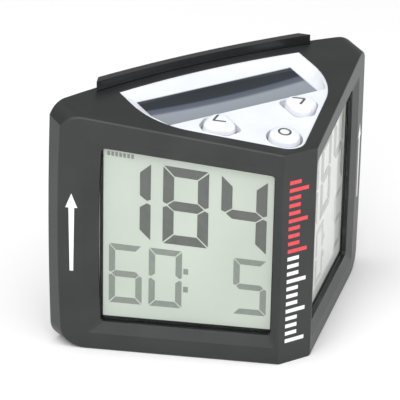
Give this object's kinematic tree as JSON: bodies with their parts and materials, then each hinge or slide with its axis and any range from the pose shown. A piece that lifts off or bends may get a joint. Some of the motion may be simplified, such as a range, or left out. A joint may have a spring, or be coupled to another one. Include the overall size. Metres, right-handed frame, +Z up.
{
  "type": "digital sailing compass",
  "caption": "Wedge-shaped sailing compass with two angled liquid-crystal displays, a solar panel and keys on the sloping top, on a slide-on mast bracket",
  "frame": {"origin": "middle of the underside of the case and bracket, on the surface that it stands on", "axes": "+X across the case, +Y from the nose towards the mast, +Z up"},
  "size_m": [0.1226, 0.0624, 0.0884],
  "materials": {
    "housing": "moulded black ABS, fine satin texture",
    "panel": "pale grey moulded ABS",
    "key_plastic": "pale grey ABS key caps",
    "clear_lens": "clear acrylic window",
    "lcd": "liquid-crystal cell",
    "reflector": "matt silver reflector film",
    "solar": "dark solar window",
    "silicon": "amorphous silicon cell",
    "seal": "black silicone",
    "silicone": "grey silicone dome",
    "board": "green solder-masked laminate",
    "chip": "black epoxy package",
    "holder": "white moulded holder",
    "steel": "stainless screw",
    "can": "aluminium can",
    "cell_sleeve": "printed sleeve",
    "bracket_black": "glossy black moulded nylon",
    "ribbon": "grey ribbon cable"
  },
  "bodies": {
    "bracket": {"mast_bracket": "bracket_black"},
    "case": {"front_shell": "housing", "rear_cover": "housing", "rear_gasket": "seal", "cover_screws": "steel", "top_panel": "panel", "top_panel_gasket": "seal", "solar_window": "solar", "solar_cell": "silicon", "key_board": "board", "key_switches": "chip", "key_board_screws": "steel", "left_dome": "silicone", "right_dome": "silicone", "go_dome": "silicone", "main_board": "board", "main_board_screws": "steel", "microcontroller": "chip", "compass_sensor": "chip", "board_capacitors": "can", "battery_cells": "cell_sleeve", "battery_tray": "housing", "battery_band": "seal", "left_display_window": "clear_lens", "left_lcd_glass": "lcd", "left_lcd_reflector": "reflector", "left_lcd_holder": "holder", "left_zebra_strips": "seal", "left_display_board": "board", "left_display_screws": "steel", "left_ribbon_cable": "ribbon", "right_display_window": "clear_lens", "right_lcd_glass": "lcd", "right_lcd_reflector": "reflector", "right_lcd_holder": "holder", "right_zebra_strips": "seal", "right_display_board": "board", "right_display_screws": "steel", "right_ribbon_cable": "ribbon"},
    "left_key": {"left_key": "key_plastic"},
    "right_key": {"right_key": "key_plastic"},
    "go_key": {"go_key": "key_plastic"}
  },
  "joints": [
    {"name": "case_lift", "type": "slide", "parent": "bracket", "child": "case", "axis": [0, 0, 1], "range_m": [0, 0.08]},
    {"name": "left_key_press", "type": "slide", "parent": "case", "child": "left_key", "axis": [0, 0.1783, -0.984], "range_m": [0, 0.001], "stiffness_N_per_m": 300, "deforming": ["left_dome"]},
    {"name": "right_key_press", "type": "slide", "parent": "case", "child": "right_key", "axis": [0, 0.1783, -0.984], "range_m": [0, 0.001], "stiffness_N_per_m": 300, "deforming": ["right_dome"]},
    {"name": "go_key_press", "type": "slide", "parent": "case", "child": "go_key", "axis": [0, 0.1783, -0.984], "range_m": [0, 0.001], "stiffness_N_per_m": 300, "deforming": ["go_dome"]}
  ]
}
